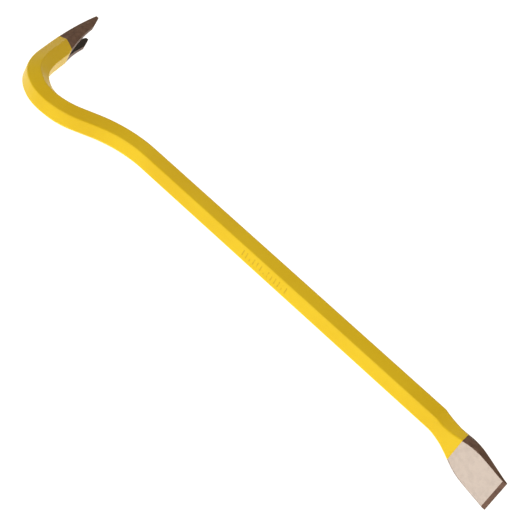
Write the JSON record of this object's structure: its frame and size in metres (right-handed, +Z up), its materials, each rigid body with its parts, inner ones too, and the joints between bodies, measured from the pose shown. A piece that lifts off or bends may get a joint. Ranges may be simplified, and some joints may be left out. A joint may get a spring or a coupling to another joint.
{
  "type": "pry bar",
  "caption": "Gooseneck pry bar of hexagonal steel with a split nail claw and an angled chisel end, lacquered between them.",
  "frame": {"origin": "middle of the bounding box, on the surface that the bar lies on", "axes": "+X along the shank towards the chisel, +Y in the plane of the bends towards the open side of the hook, +Z up, square to the plane of the bends, with the bar lying on its side"},
  "size_m": [0.612, 0.1766, 0.03],
  "materials": {
    "forged_steel": "satin",
    "lacquer": "gloss"
  },
  "bodies": {
    "root": {"forged_bar": "forged_steel", "lacquer_coat": "lacquer"}
  },
  "joints": []
}
